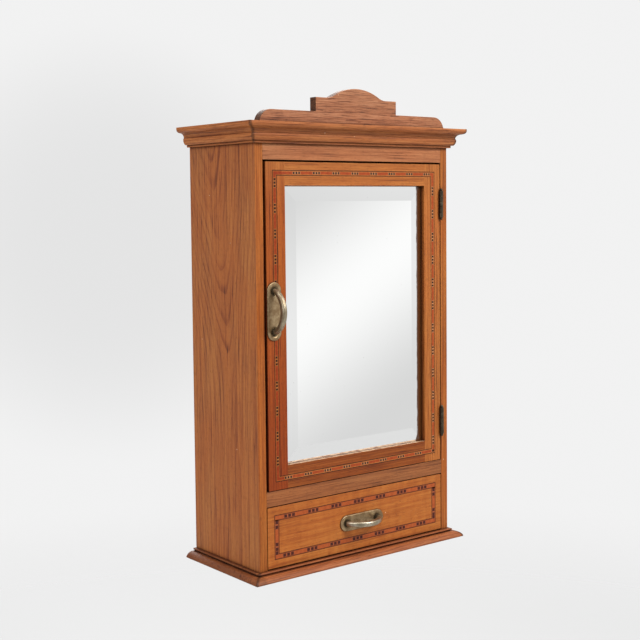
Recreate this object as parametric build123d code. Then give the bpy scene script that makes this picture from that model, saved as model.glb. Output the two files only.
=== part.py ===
from build123d import *
import os
from math import sqrt

# Wall-hung bathroom cabinet of solid wood, in millimetres.
# X runs to the right as seen from the front, Y runs back to the wall, and +Z is up.
# Heights below are measured from the top face of the base board. Each piece is
# moved down by HANG_Z as it is written, so that the origin is the middle of the
# two wall-screw holes, on the back face that lies against the wall.

# ---- Driving dimensions: case ----
CASE_WIDTH = 350.0
CASE_DEPTH = 160.0
CASE_HEIGHT = 577.0
CORNICE_HEIGHT = 27.6
SIDE_T = 12.5
RAIL_T = 12.5
BACK_T = 6.0
BASE_T = 12.0
THIN_BOARD_T = 9.5
TOP_BOARD_T = 12.7
OPENING_TOP = 555.0
MID_RAIL_BOTTOM = 87.2
MID_RAIL_TOP = 107.7
EASE = 0.4
BACK_LAP = 5.0
BACK_JOINT = 0.2
OVERCUT = 1.0

# ---- Driving dimensions: wall fixing ----
HANG_Z = 573.0
HANG_SPACING = 200.0
HANG_HOLE_R = 2.5
HANG_HOLE_LENGTH = 60.0
BATTEN_T = 12.0
BATTEN_HEIGHT = 37.0

# ---- Driving dimensions: crest board ----
CREST_T = 12.7
CREST_SETBACK = -1.5
CREST_HALF_LENGTH = 167.8
CREST_LOW_RISE = 17.2
CREST_END_R = 19.6
CREST_MID_HALF = 73.3
CREST_SHOULDER_RISE = 36.6
CREST_ARCH_HALF = 53.5
CREST_PEAK_RISE = 50.9
CREST_HOLLOW_R = 25.0
CREST_EASE = 0.5

# ---- Driving dimensions: shelves, kickers, stops ----
SHELF_FRONT_Y = -134.0
SHELF_LEVELS = {"lower": 262.0, "upper": 415.0}
CLEAT_W = 10.0
CLEAT_H = 12.0
CLEAT_SETBACK = 4.0
SHELF_GAP = 0.3
KICKER_W = 12.0
KICKER_GAP = 1.0
DRAWER_STOP_T = 6.0
DRAWER_STOP_HEIGHT = 12.0
DRAWER_STOP_HALF = 15.0
STRIP_W = 8.0
STRIP_GAP = 0.4

# ---- Driving dimensions: door ----
DOOR_T = 16.0
DOOR_GAP_HANDLE = 4.5
DOOR_GAP_HINGE = 1.6
DOOR_GAP_TOP = 2.5
DOOR_GAP_BOTTOM = 1.0
FRAME_W = 31.75
LIP_DEPTH = 6.5
RABBET_W = 5.5
TENON_LENGTH = 18.0
TENON_T = 5.0
TENON_SHOULDER = 6.0
TENON_REBATE_GAP = 1.5
INLAY_MARGIN = 11.0
DOOR_INLAY_W = 7.7
INLAY_DEPTH = 1.0
GLASS_LAP = 4.5
GLASS_EDGE_T = 2.8
BEVEL_W = 26.0
BEVEL_DROP = 2.2
GLASS_CLEARANCE = 0.4
BACKING_T = 4.0
BACKING_GAP = 0.5
SPRIG_T = 0.8
SPRIG_REACH = 5.0
SPRIG_HALF_W = 2.0
SPRIG_SIDE_STEPS = (-130.0, -45.0, 45.0, 130.0)
SPRIG_END_STEPS = (-70.0, 70.0)

# ---- Driving dimensions: door catch ----
CATCH_Z = 352.0
CATCH_HALF = 21.0
CATCH_T = 0.6
CATCH_RISE = 3.3
CATCH_Y = (-155.0, -147.0)
CATCH_TAB = 7.0
CATCH_SCREW_INSET = 3.5

# ---- Driving dimensions: butt hinges ----
HINGE_LENGTH = 40.0
HINGE_INSET = 39.0
LEAF_T = 1.6
LEAF_SPLIT = 0.3
LEAF_REACH = 12.7
BARREL_R = 2.9
KNUCKLE_ROUND = 0.35
PIN_R = 1.3
PIN_CLEARANCE = 0.05
PIN_PROUD = 2.7
KNUCKLES = 5
KNUCKLE_GAP = 0.3
KNUCKLE_CLEARANCE = 0.2
TIP_R = 1.9
TIP_NECK = 0.5
TIP_FLAT = 0.6
HINGE_SCREW_STEP = 13.5

# ---- Driving dimensions: drawer ----
DRAWER_GAP_SIDE = 1.1
DRAWER_TOP = 85.9
DRAWER_BOTTOM_Z = 1.8
DRAWER_FRONT_T = 15.0
DRAWER_SIDE_T = 8.0
DRAWER_SIDE_TOP = 80.0
DRAWER_BACK_DROP = 4.0
DRAWER_LIFT = 0.4
DRAWER_LAP = 9.0
DRAWER_FLOOR_Z = 6.0
DRAWER_FLOOR_T = 4.0
DRAWER_INLAY_W = 8.4

# ---- Driving dimensions: bow handles ----
PLATE_LENGTH = 79.0
PLATE_W = 22.5
PLATE_T = 2.2
FOOT_SPACING = 55.5
PLATE_ROUND = 1.1
BOW_OUTER_RISE = 27.0
BOW_INNER_RISE = 18.4
BOW_FOOT_H = 4.0
BOW_FOOT_T = 6.6
BOW_W = 7.4
BOW_ROUND = 2.6
DISH_R = 7.6
DISH_DEPTH = 1.6
HANDLE_SCREW_R = 1.75
HANDLE_SCREW_BITE = 6.0
HANDLE_HOLE_GAP = 0.25
HANDLE_HEAD_R = 3.4
HANDLE_HEAD_H = 2.0
HANDLE_HEAD_ROUND = 0.8
HANDLE_SLOT_HALF_W = 0.4
HANDLE_SLOT_DEPTH = 0.8
DOOR_HANDLE_AT = (-146.9, 352.0)
DRAWER_HANDLE_AT = (4.0, 42.0)

# ---- Driving dimensions: screws and nails ----
SLOT_HALF_W = 0.3
NAIL_HEAD_H = 0.8
HINGE_SCREW = {"length": 9.5, "head_r": 2.7, "shank_r": 1.2, "head_h": 1.5}
CATCH_SCREW = {"length": 8.0, "head_r": 1.9, "shank_r": 0.9, "head_h": 1.0}
BASE_SCREW = {"length": 32.0, "head_r": 3.4, "shank_r": 1.6, "head_h": 2.2}
CORNICE_PIN = {"length": 16.0, "head_r": 1.1, "shank_r": 0.7}
BACK_NAIL = {"length": 22.0, "head_r": 1.6, "shank_r": 0.8}
FLOOR_NAIL = {"length": 18.0, "head_r": 1.6, "shank_r": 0.8}
CORNICE_PIN_RISE = 8.6
CORNICE_PIN_OUT = 9.7
CORNICE_PIN_X = (-150.0, -52.0, 48.0, 147.0)
CORNICE_PIN_Y = (-132.0, -34.0)
BASE_SCREW_Y = (-135.0, -80.0, -25.0)
BACK_NAIL_INSET = 9.5
BACK_NAIL_Z = (30.0, 160.0, 290.0, 420.0, 545.0)
FLOOR_NAIL_X = (-140.0, -84.0, -26.0, 26.0, 84.0, 140.0)

# ---- Moulding outlines: corners and arc middles as (distance out from the case, height) ----
# Heights of the cornice are above its bottom edge, and heights of the base are below its top face.
CORNICE_FOOT = ((4.5, 0.0), (4.5, 3.2), (7.4, 3.4))
CORNICE_OVOLO = ((9.6, 6.6), (10.2, 12.2))
CORNICE_STEP = (9.4, 13.2)
CORNICE_COVE = ((11.4, 18.0), (16.0, 19.8))
CORNICE_FILLET = (18.0, 20.3)
CORNICE_NOSE = ((20.6, 22.2), (21.5, 24.8))
BASE_BEAD = ((3.9, 0.0), (5.1, -1.3), (3.9, -2.6))
BASE_QUIRK = ((3.1, -2.7), (3.1, -3.7), (5.2, -3.9))
BASE_OVOLO = ((12.8, -5.5), (17.0, -10.0))
BASE_NOSE = (17.0, -11.4)
BASE_TOE = 16.3

# ---- Places worked out from the dimensions above ----
HALF_W = CASE_WIDTH / 2
FRONT_Y = -CASE_DEPTH
INNER_X = HALF_W - SIDE_T
INNER_BACK_Y = -BACK_T
RAIL_BACK_Y = FRONT_Y + RAIL_T
TOP_Z = CASE_HEIGHT + CORNICE_HEIGHT
CORNICE_OUT = CORNICE_NOSE[1][0]
TOP_BOARD_Z = TOP_Z - TOP_BOARD_T
FLOOR_Z = MID_RAIL_TOP - THIN_BOARD_T
REBATE_X = INNER_X + SIDE_T / 2

DOOR_X0 = -INNER_X + DOOR_GAP_HANDLE
DOOR_X1 = INNER_X - DOOR_GAP_HINGE
DOOR_Z0 = MID_RAIL_TOP + DOOR_GAP_BOTTOM
DOOR_Z1 = OPENING_TOP - DOOR_GAP_TOP
DOOR_BACK_Y = FRONT_Y + DOOR_T
SIGHT_X0 = DOOR_X0 + FRAME_W
SIGHT_X1 = DOOR_X1 - FRAME_W
SIGHT_Z0 = DOOR_Z0 + FRAME_W
SIGHT_Z1 = DOOR_Z1 - FRAME_W
LIP_Y = FRONT_Y + LIP_DEPTH
GLASS_RIM_Y = LIP_Y + GLASS_CLEARANCE
GLASS_BACK_Y = GLASS_RIM_Y + GLASS_EDGE_T
TENON_TOP = (SIGHT_Z1 + RABBET_W + TENON_REBATE_GAP, DOOR_Z1 - TENON_SHOULDER)
TENON_BOTTOM = (DOOR_Z0 + TENON_SHOULDER, SIGHT_Z0 - RABBET_W - TENON_REBATE_GAP)

PIN_X = INNER_X - DOOR_GAP_HINGE / 2
PIN_Y = FRONT_Y - PIN_PROUD
LEAF_BACK_Y = FRONT_Y + LEAF_REACH
HINGE_SPANS = {
    "upper": (DOOR_Z1 - HINGE_INSET - HINGE_LENGTH, DOOR_Z1 - HINGE_INSET),
    "lower": (DOOR_Z0 + HINGE_INSET, DOOR_Z0 + HINGE_INSET + HINGE_LENGTH),
}

DRAWER_HALF = INNER_X - DRAWER_GAP_SIDE
DRAWER_FRONT_BACK_Y = FRONT_Y + DRAWER_FRONT_T
DRAWER_REAR_Y = INNER_BACK_Y - DRAWER_STOP_T - DRAWER_LIFT
DRAWER_INNER_X = DRAWER_HALF - DRAWER_SIDE_T
GROOVE_DEPTH = DRAWER_SIDE_T / 2


# ---- Helpers ----
def save(shape, node):
    export_step(Pos(0, 0, -HANG_Z) * shape, f"parts/{node}.step")


def save_group(shapes, node):
    save(Compound(children=list(shapes)), node)


def block(x_span, y_span, z_span):
    spans = (x_span, y_span, z_span)
    centre = [(low + high) / 2 for low, high in spans]
    size = [high - low for low, high in spans]
    return Pos(*centre) * Box(*size)


def eased(shape, radius=EASE):
    return fillet(shape.edges(), radius)


def ease_edges(shape, keep, radius=EASE):
    return fillet(shape.edges().filter_by(keep), radius)


def plan_prism(points, z_span):
    outline = make_face(Polyline(*points, close=True))
    return Pos(0, 0, z_span[0]) * extrude(outline, z_span[1] - z_span[0], dir=(0, 0, 1))


def turned_to_front(shape, at, upright=False):
    # A shape drawn lying on XY, face up, is stood on the front face at (x, z).
    if upright:
        shape = Rot(0, 0, 90) * shape
    return Pos(at[0], FRONT_Y, at[1]) * (Rot(90, 0, 0) * shape)


# ---- Screws and pins ----
def wood_screw(length, head_r, shank_r, head_h):
    # Flat-headed slotted screw, head at z = 0, point down.
    head = Pos(0, 0, -head_h / 2) * Cone(shank_r, head_r, head_h)
    shank = Pos(0, 0, -(head_h + length) / 2) * Cylinder(shank_r, length - head_h)
    slot = block((-head_r, head_r), (-SLOT_HALF_W, SLOT_HALF_W), (-head_h / 2, OVERCUT))
    return head + shank - slot


def panel_pin(length, head_r, shank_r):
    head = Pos(0, 0, -NAIL_HEAD_H / 2) * Cylinder(head_r, NAIL_HEAD_H)
    shank = Pos(0, 0, -(NAIL_HEAD_H + length) / 2) * Cylinder(shank_r, length - NAIL_HEAD_H)
    return head + shank


def facing(shape, direction, at):
    turns = {
        "front": Rot(90, 0, 0),
        "back": Rot(-90, 0, 0),
        "left": Rot(0, -90, 0),
        "right": Rot(0, 90, 0),
        "down": Rot(180, 0, 0),
    }
    return Pos(*at) * (turns[direction] * shape)


# ---- Mouldings ----
def arc(start, middle_and_end):
    return ThreePointArc(start, *middle_and_end)


def cornice_outline():
    inner_bottom = (0, 0)
    inner_top = (0, CORNICE_HEIGHT)
    outer_top = (CORNICE_OUT, CORNICE_HEIGHT)
    edges = [
        Line(inner_bottom, CORNICE_FOOT[0]),
        Polyline(*CORNICE_FOOT),
        arc(CORNICE_FOOT[-1], CORNICE_OVOLO),
        Line(CORNICE_OVOLO[-1], CORNICE_STEP),
        arc(CORNICE_STEP, CORNICE_COVE),
        Line(CORNICE_COVE[-1], CORNICE_FILLET),
        arc(CORNICE_FILLET, CORNICE_NOSE),
        Line(CORNICE_NOSE[-1], outer_top),
        Line(outer_top, inner_top),
        Line(inner_top, inner_bottom),
    ]
    return Pos(0, CASE_HEIGHT, 0) * make_face(edges)


def base_outline():
    toe = (BASE_TOE, -BASE_T)
    edges = [
        Line((0, 0), BASE_BEAD[0]),
        arc(BASE_BEAD[0], BASE_BEAD[1:]),
        Line(BASE_BEAD[-1], BASE_QUIRK[0]),
        Polyline(*BASE_QUIRK),
        arc(BASE_QUIRK[-1], BASE_OVOLO),
        Line(BASE_OVOLO[-1], BASE_NOSE),
        Line(BASE_NOSE, toe),
        Line(toe, (0, -BASE_T)),
        Line((0, -BASE_T), (0, 0)),
    ]
    return make_face(edges)


def moulded_run(outline, side):
    # One straight length of moulding, mitred at the front corners.
    reach = CORNICE_OUT + OVERCUT
    z_span = (-BASE_T - OVERCUT, TOP_Z + OVERCUT)
    places = {
        "front": Plane(origin=(0, FRONT_Y, 0), x_dir=(0, -1, 0), z_dir=(-1, 0, 0)),
        "left": Plane(origin=(-HALF_W, 0, 0), x_dir=(-1, 0, 0), z_dir=(0, 1, 0)),
        "right": Plane(origin=(HALF_W, 0, 0), x_dir=(1, 0, 0), z_dir=(0, -1, 0)),
    }
    wedges = {
        "front": [(-HALF_W, FRONT_Y), (-HALF_W - reach, FRONT_Y - reach),
                  (HALF_W + reach, FRONT_Y - reach), (HALF_W, FRONT_Y)],
        "left": [(-HALF_W, FRONT_Y), (-HALF_W, 0),
                 (-HALF_W - reach, 0), (-HALF_W - reach, FRONT_Y - reach)],
        "right": [(HALF_W, FRONT_Y), (HALF_W, 0),
                  (HALF_W + reach, 0), (HALF_W + reach, FRONT_Y - reach)],
    }
    section = places[side] * outline
    bar = extrude(section, CASE_WIDTH, both=True)
    return bar & plan_prism(wedges[side], z_span)


def base_board():
    board = block((-HALF_W, HALF_W), (FRONT_Y, 0), (-BASE_T, 0))
    for side in ("front", "left", "right"):
        board += moulded_run(base_outline(), side)
    return board


def crest_board():
    # The shaped board that stands on the cornice: low ends, square shoulders, ogee arch.
    z = TOP_Z
    end_x = CREST_HALF_LENGTH
    end_centre_x = end_x - sqrt(CREST_END_R**2 - (CREST_END_R - CREST_LOW_RISE) ** 2)
    centre_z = z + CREST_LOW_RISE - CREST_END_R
    end_mid_x = (end_x + end_centre_x) / 2
    end_mid_z = centre_z + sqrt(CREST_END_R**2 - (end_mid_x - end_centre_x) ** 2)
    arch_rise = CREST_PEAK_RISE - CREST_SHOULDER_RISE
    radius_sum = (CREST_ARCH_HALF**2 + arch_rise**2) / (2 * arch_rise)
    round_r = radius_sum - CREST_HOLLOW_R
    turn_x = CREST_ARCH_HALF * round_r / radius_sum
    turn_z = z + CREST_PEAK_RISE - arch_rise * round_r / radius_sum
    hollow_mid_x = (turn_x + CREST_ARCH_HALF) / 2
    shoulder_z = z + CREST_SHOULDER_RISE
    hollow_mid_z = shoulder_z + CREST_HOLLOW_R - sqrt(
        CREST_HOLLOW_R**2 - (CREST_ARCH_HALF - hollow_mid_x) ** 2)
    low_z = z + CREST_LOW_RISE
    right = [
        ThreePointArc((end_x, z), (end_mid_x, end_mid_z), (end_centre_x, low_z)),
        Line((end_centre_x, low_z), (CREST_MID_HALF, low_z)),
        Line((CREST_MID_HALF, low_z), (CREST_MID_HALF, shoulder_z)),
        Line((CREST_MID_HALF, shoulder_z), (CREST_ARCH_HALF, shoulder_z)),
        ThreePointArc((CREST_ARCH_HALF, shoulder_z), (hollow_mid_x, hollow_mid_z), (turn_x, turn_z)),
    ]
    top = ThreePointArc((turn_x, turn_z), (0, z + CREST_PEAK_RISE), (-turn_x, turn_z))
    left = [mirror(edge, about=Plane.YZ) for edge in right]
    bottom = Line((-end_x, z), (end_x, z))
    outline = make_face(right + [top] + left + [bottom])
    front_y = FRONT_Y + CREST_SETBACK
    stood = Pos(0, front_y, 0) * (Rot(90, 0, 0) * outline)
    board = extrude(stood, CREST_T, dir=(0, 1, 0))
    faces_y = (front_y, front_y + CREST_T)
    return ease_edges(board, lambda edge: edge.center().Z > z + CREST_EASE
                      and min(abs(edge.center().Y - y) for y in faces_y) < CREST_EASE, CREST_EASE)


# ---- Case ----
def side_panel(sign):
    spans = sorted((sign * INNER_X, sign * HALF_W))
    panel = eased(block(spans, (FRONT_Y, 0), (0, TOP_Z)))
    rebate_spans = sorted((sign * INNER_X, sign * REBATE_X))
    panel -= block(rebate_spans, (INNER_BACK_Y, OVERCUT), (-OVERCUT, TOP_Z + OVERCUT))
    if sign > 0:
        for span in HINGE_SPANS.values():
            panel -= block((INNER_X - OVERCUT, PIN_X + LEAF_SPLIT / 2 + LEAF_T),
                           (FRONT_Y - OVERCUT, LEAF_BACK_Y), span)
    return panel


def back_boards():
    # Three upright boards with half-lapped edges.
    edge = REBATE_X / 3
    mid_y = INNER_BACK_Y / 2
    z_span = (0, TOP_Z)
    wide = edge + BACK_LAP / 2
    narrow = edge - BACK_LAP / 2
    middle = block((-wide, wide), (INNER_BACK_Y, mid_y), z_span)
    middle += block((-narrow, narrow), (mid_y, 0), z_span)
    right = block((wide + BACK_JOINT, REBATE_X), (INNER_BACK_Y, 0), z_span)
    right += block((narrow + BACK_JOINT, wide + BACK_JOINT), (mid_y, 0), z_span)
    left = mirror(right, about=Plane.YZ)
    boards = {"left": left, "middle": middle, "right": right}
    return {name: board - hang_holes() for name, board in boards.items()}


def hang_holes():
    holes = []
    for x in (-HANG_SPACING / 2, HANG_SPACING / 2):
        hole = Cylinder(HANG_HOLE_R, HANG_HOLE_LENGTH)
        holes.append(Pos(x, -BACK_T, HANG_Z) * (Rot(90, 0, 0) * hole))
    return Compound(children=holes)


def hanging_batten():
    span = (HANG_Z - BATTEN_HEIGHT / 2, HANG_Z + BATTEN_HEIGHT / 2)
    batten = block((-INNER_X, INNER_X), (INNER_BACK_Y - BATTEN_T, INNER_BACK_Y), span)
    return eased(batten) - hang_holes()


def shelf(level):
    reach = INNER_X - SHELF_GAP
    return eased(block((-reach, reach), (SHELF_FRONT_Y, INNER_BACK_Y),
                       (level, level + THIN_BOARD_T)))


def shelf_cleat(sign, level):
    spans = sorted((sign * (INNER_X - CLEAT_W), sign * INNER_X))
    y_span = (SHELF_FRONT_Y + CLEAT_SETBACK, INNER_BACK_Y)
    return eased(block(spans, y_span, (level - CLEAT_H, level)))


def drawer_kicker(sign):
    spans = sorted((sign * (INNER_X - KICKER_W), sign * INNER_X))
    return eased(block(spans, (DRAWER_FRONT_BACK_Y + KICKER_GAP, INNER_BACK_Y),
                       (DRAWER_SIDE_TOP + KICKER_GAP, FLOOR_Z)))


def drawer_stop(sign):
    centre = sign * 2 * DRAWER_INNER_X / 3
    return eased(block((centre - DRAWER_STOP_HALF, centre + DRAWER_STOP_HALF),
                       (INNER_BACK_Y - DRAWER_STOP_T, INNER_BACK_Y), (0, DRAWER_STOP_HEIGHT)))


def door_stop_strip():
    front = DOOR_BACK_Y + STRIP_GAP
    return eased(block((-INNER_X, -INNER_X + STRIP_W), (front, front + STRIP_W),
                       (MID_RAIL_TOP, OPENING_TOP)))


# ---- Door catch: a bowed brass strip in the gap beside the handle stile ----
def catch_spring():
    x = -INNER_X
    arc_half = CATCH_HALF - CATCH_TAB
    low, high = CATCH_Z - CATCH_HALF, CATCH_Z + CATCH_HALF
    arc_low, arc_high = CATCH_Z - arc_half, CATCH_Z + arc_half
    outer = [
        Line((x, low), (x + CATCH_T, low)),
        Line((x + CATCH_T, low), (x + CATCH_T, arc_low)),
        ThreePointArc((x + CATCH_T, arc_low), (x + CATCH_RISE, CATCH_Z), (x + CATCH_T, arc_high)),
        Line((x + CATCH_T, arc_high), (x + CATCH_T, high)),
        Line((x + CATCH_T, high), (x, high)),
        Line((x, high), (x, arc_high)),
        ThreePointArc((x, arc_high), (x + CATCH_RISE - CATCH_T, CATCH_Z), (x, arc_low)),
        Line((x, arc_low), (x, low)),
    ]
    face = Rot(90, 0, 0) * make_face(outer)
    strip = extrude(Pos(0, CATCH_Y[1], 0) * face, CATCH_Y[1] - CATCH_Y[0], dir=(0, -1, 0))
    for screw in catch_screws():
        strip -= screw
    return strip


def catch_screws():
    screws = []
    y = sum(CATCH_Y) / 2
    reach = CATCH_HALF - CATCH_SCREW_INSET
    for z in (CATCH_Z - reach, CATCH_Z + reach):
        screw = wood_screw(**CATCH_SCREW)
        screws.append(facing(screw, "right", (-INNER_X + CATCH_T, y, z)))
    return screws


# ---- Hinges ----
def knuckle_spans(z_span, names):
    pitch = (z_span[1] - z_span[0]) / KNUCKLES
    spans = []
    for index in names:
        low = z_span[0] + index * pitch
        spans.append((low + KNUCKLE_GAP / 2, low + pitch - KNUCKLE_GAP / 2))
    return spans


def barrel(z_span, radius):
    middle = (z_span[0] + z_span[1]) / 2
    return Pos(PIN_X, PIN_Y, middle) * Cylinder(radius, z_span[1] - z_span[0])


def knuckle(z_span):
    ends = barrel(z_span, BARREL_R)
    return fillet(ends.edges().filter_by(GeomType.CIRCLE), KNUCKLE_ROUND)


def hinge_leaf(z_span, side):
    # The case leaf has the first, middle and last knuckles, the door leaf the others.
    own = range(0, KNUCKLES, 2) if side == "case" else range(1, KNUCKLES, 2)
    others = range(1, KNUCKLES, 2) if side == "case" else range(0, KNUCKLES, 2)
    near = PIN_X + LEAF_SPLIT / 2 if side == "case" else PIN_X - LEAF_SPLIT / 2
    far = near + LEAF_T if side == "case" else near - LEAF_T
    leaf = block(sorted((near, far)), (PIN_Y, LEAF_BACK_Y), z_span)
    for low, high in knuckle_spans(z_span, others):
        gap = (low - KNUCKLE_GAP, high + KNUCKLE_GAP)
        leaf -= barrel(gap, BARREL_R + KNUCKLE_CLEARANCE)
    for span in knuckle_spans(z_span, own):
        leaf += knuckle(span)
    bore = PIN_R if side == "case" else PIN_R + PIN_CLEARANCE
    leaf -= barrel((z_span[0] - OVERCUT, z_span[1] + OVERCUT), bore)
    for screw in hinge_screws(z_span, side):
        leaf -= screw
    return leaf


def hinge_pin(z_span):
    # A round pin with a ball tip at each end, standing just clear of the knuckles.
    pin = barrel((z_span[0] - TIP_NECK, z_span[1] + TIP_NECK), PIN_R)
    reach = TIP_NECK + TIP_R * TIP_FLAT
    for z in (z_span[0] - reach, z_span[1] + reach):
        ball = Pos(PIN_X, PIN_Y, z) * Sphere(TIP_R)
        pin += ball - barrel(z_span, BARREL_R)
    return pin


def hinge_screws(z_span, side):
    middle = (z_span[0] + z_span[1]) / 2
    y = (FRONT_Y + LEAF_BACK_Y) / 2
    screws = []
    for z in (middle - HINGE_SCREW_STEP, middle, middle + HINGE_SCREW_STEP):
        screw = wood_screw(**HINGE_SCREW)
        if side == "case":
            place = (PIN_X + LEAF_SPLIT / 2, y, z)
            screws.append(facing(screw, "left", place))
        else:
            place = (PIN_X - LEAF_SPLIT / 2, y, z)
            screws.append(facing(screw, "right", place))
    return screws


# ---- Door ----
def inlay_strips(x_span, z_span, width):
    # Four mitred strips let into the front face.
    x0, x1 = x_span
    z0, z1 = z_span
    outlines = {
        "top": [(x0, z1), (x1, z1), (x1 - width, z1 - width), (x0 + width, z1 - width)],
        "bottom": [(x0, z0), (x1, z0), (x1 - width, z0 + width), (x0 + width, z0 + width)],
        "left": [(x0, z0), (x0, z1), (x0 + width, z1 - width), (x0 + width, z0 + width)],
        "right": [(x1, z0), (x1, z1), (x1 - width, z1 - width), (x1 - width, z0 + width)],
    }
    strips = []
    for points in outlines.values():
        face = Rot(90, 0, 0) * make_face(Polyline(*points, close=True))
        strips.append(extrude(Pos(0, FRONT_Y, 0) * face, INLAY_DEPTH, dir=(0, 1, 0)))
    return strips


def door_inlay():
    holes = handle_screw_holes(DOOR_HANDLE_AT, DOOR_T, upright=True)
    strips = inlay_strips((DOOR_X0 + INLAY_MARGIN, DOOR_X1 - INLAY_MARGIN),
                          (DOOR_Z0 + INLAY_MARGIN, DOOR_Z1 - INLAY_MARGIN), DOOR_INLAY_W)
    return [strip - holes for strip in strips]


def glass_rebate():
    return block((SIGHT_X0 - RABBET_W, SIGHT_X1 + RABBET_W), (LIP_Y, DOOR_BACK_Y + OVERCUT),
                 (SIGHT_Z0 - RABBET_W, SIGHT_Z1 + RABBET_W))


def tenon(z_span):
    # Both tenons of one rail, as a bar right across the sight opening.
    middle_y = FRONT_Y + DOOR_T / 2
    return block((SIGHT_X0 - TENON_LENGTH, SIGHT_X1 + TENON_LENGTH),
                 (middle_y - TENON_T / 2, middle_y + TENON_T / 2), z_span)


def door_stile(sign):
    outer = DOOR_X1 if sign > 0 else DOOR_X0
    inner = SIGHT_X1 if sign > 0 else SIGHT_X0
    stile = block(sorted((outer, inner)), (FRONT_Y, DOOR_BACK_Y), (DOOR_Z0, DOOR_Z1))
    stile = ease_edges(stile, lambda edge: abs(edge.center().X - outer) < EASE)
    stile -= glass_rebate()
    for span in (TENON_TOP, TENON_BOTTOM):
        stile -= tenon(span)
    for strip in door_inlay():
        stile -= strip
    if sign > 0:
        for span in HINGE_SPANS.values():
            stile -= block((PIN_X - LEAF_SPLIT / 2 - LEAF_T, DOOR_X1 + OVERCUT),
                           (FRONT_Y - OVERCUT, LEAF_BACK_Y), span)
    else:
        stile -= handle_screw_holes(DOOR_HANDLE_AT, DOOR_T, upright=True)
    return stile


def door_rail(z_span, tenon_span, outer_z):
    rail = block((SIGHT_X0, SIGHT_X1), (FRONT_Y, DOOR_BACK_Y), z_span)
    rail = ease_edges(rail, lambda edge: abs(edge.center().Z - outer_z) < EASE
                      and abs(edge.center().X) < HALF_W / 2)
    ends = tenon(tenon_span) - block((SIGHT_X0, SIGHT_X1), (FRONT_Y, DOOR_BACK_Y), z_span)
    rail += ends
    rail -= glass_rebate()
    for strip in door_inlay():
        rail -= strip
    return rail


def mirror_glass():
    x_span = (SIGHT_X0 - GLASS_LAP, SIGHT_X1 + GLASS_LAP)
    z_span = (SIGHT_Z0 - GLASS_LAP, SIGHT_Z1 + GLASS_LAP)
    plate = block(x_span, (GLASS_RIM_Y, GLASS_BACK_Y), z_span)
    centre = (sum(x_span) / 2, sum(z_span) / 2)
    width = x_span[1] - x_span[0]
    height = z_span[1] - z_span[0]
    rim = Pos(centre[0], GLASS_RIM_Y, centre[1]) * (Rot(90, 0, 0) * Rectangle(width, height))
    flat_y = GLASS_RIM_Y - BEVEL_DROP
    flat = Pos(centre[0], flat_y, centre[1]) * (
        Rot(90, 0, 0) * Rectangle(width - 2 * BEVEL_W, height - 2 * BEVEL_W))
    return plate + loft([rim.face(), flat.face()])


def mirror_backing():
    grow = GLASS_LAP + BACKING_GAP
    return block((SIGHT_X0 - grow, SIGHT_X1 + grow), (GLASS_BACK_Y, GLASS_BACK_Y + BACKING_T),
                 (SIGHT_Z0 - grow, SIGHT_Z1 + grow))


def backing_sprigs():
    # Small flat points driven into the rebate wall over the edge of the backing board.
    front = GLASS_BACK_Y + BACKING_T
    y_span = (front, front + SPRIG_T)
    middle_x = (SIGHT_X0 + SIGHT_X1) / 2
    middle_z = (SIGHT_Z0 + SIGHT_Z1) / 2
    sprigs = []
    for step in SPRIG_SIDE_STEPS:
        z = middle_z + step
        for wall in (SIGHT_X0 - RABBET_W, SIGHT_X1 + RABBET_W):
            sprigs.append(block((wall - SPRIG_REACH, wall + SPRIG_REACH), y_span,
                                (z - SPRIG_HALF_W, z + SPRIG_HALF_W)))
    for step in SPRIG_END_STEPS:
        x = middle_x + step
        for wall in (SIGHT_Z0 - RABBET_W, SIGHT_Z1 + RABBET_W):
            sprigs.append(block((x - SPRIG_HALF_W, x + SPRIG_HALF_W), y_span,
                                (wall - SPRIG_REACH, wall + SPRIG_REACH)))
    return sprigs


# ---- Bow handles, drawn lying down: length along X, outward along Z ----
def bow():
    # A crescent bar, thickest in the middle, with its long edges well rounded.
    foot_x = FOOT_SPACING / 2
    out_x = foot_x + BOW_FOOT_T / 2
    in_x = foot_x - BOW_FOOT_T / 2
    outline = [
        Line((-out_x, 0), (-out_x, BOW_FOOT_H)),
        ThreePointArc((-out_x, BOW_FOOT_H), (0, BOW_OUTER_RISE), (out_x, BOW_FOOT_H)),
        Line((out_x, BOW_FOOT_H), (out_x, 0)),
        Line((out_x, 0), (in_x, 0)),
        Line((in_x, 0), (in_x, BOW_FOOT_H)),
        ThreePointArc((in_x, BOW_FOOT_H), (0, BOW_INNER_RISE), (-in_x, BOW_FOOT_H)),
        Line((-in_x, BOW_FOOT_H), (-in_x, 0)),
        Line((-in_x, 0), (-out_x, 0)),
    ]
    face = Rot(90, 0, 0) * make_face(outline)
    bar = extrude(face, BOW_W / 2, both=True)
    bar = ease_edges(bar, lambda edge: abs(edge.center().Y) > BOW_W / 2 - EASE
                     and edge.center().Z > EASE, BOW_ROUND)
    for x in (-foot_x, foot_x):
        bar -= Pos(x, 0, HANDLE_SCREW_BITE / 2) * Cylinder(HANDLE_SCREW_R, HANDLE_SCREW_BITE)
    return bar


def handle_plate():
    plate = extrude(SlotOverall(PLATE_LENGTH, PLATE_W), PLATE_T)
    plate = ease_edges(plate, lambda edge: edge.center().Z > PLATE_T - EASE, PLATE_ROUND)
    ball_r = (DISH_R**2 + DISH_DEPTH**2) / (2 * DISH_DEPTH)
    feet = (-FOOT_SPACING / 2, FOOT_SPACING / 2)
    for x in feet:
        plate -= Pos(x, 0, PLATE_T + ball_r - DISH_DEPTH) * Sphere(ball_r)
    plate -= bow()
    for x in feet:
        plate -= Pos(x, 0, 0) * Cylinder(HANDLE_SCREW_R + HANDLE_HOLE_GAP, 3 * PLATE_T)
    return plate


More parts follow.
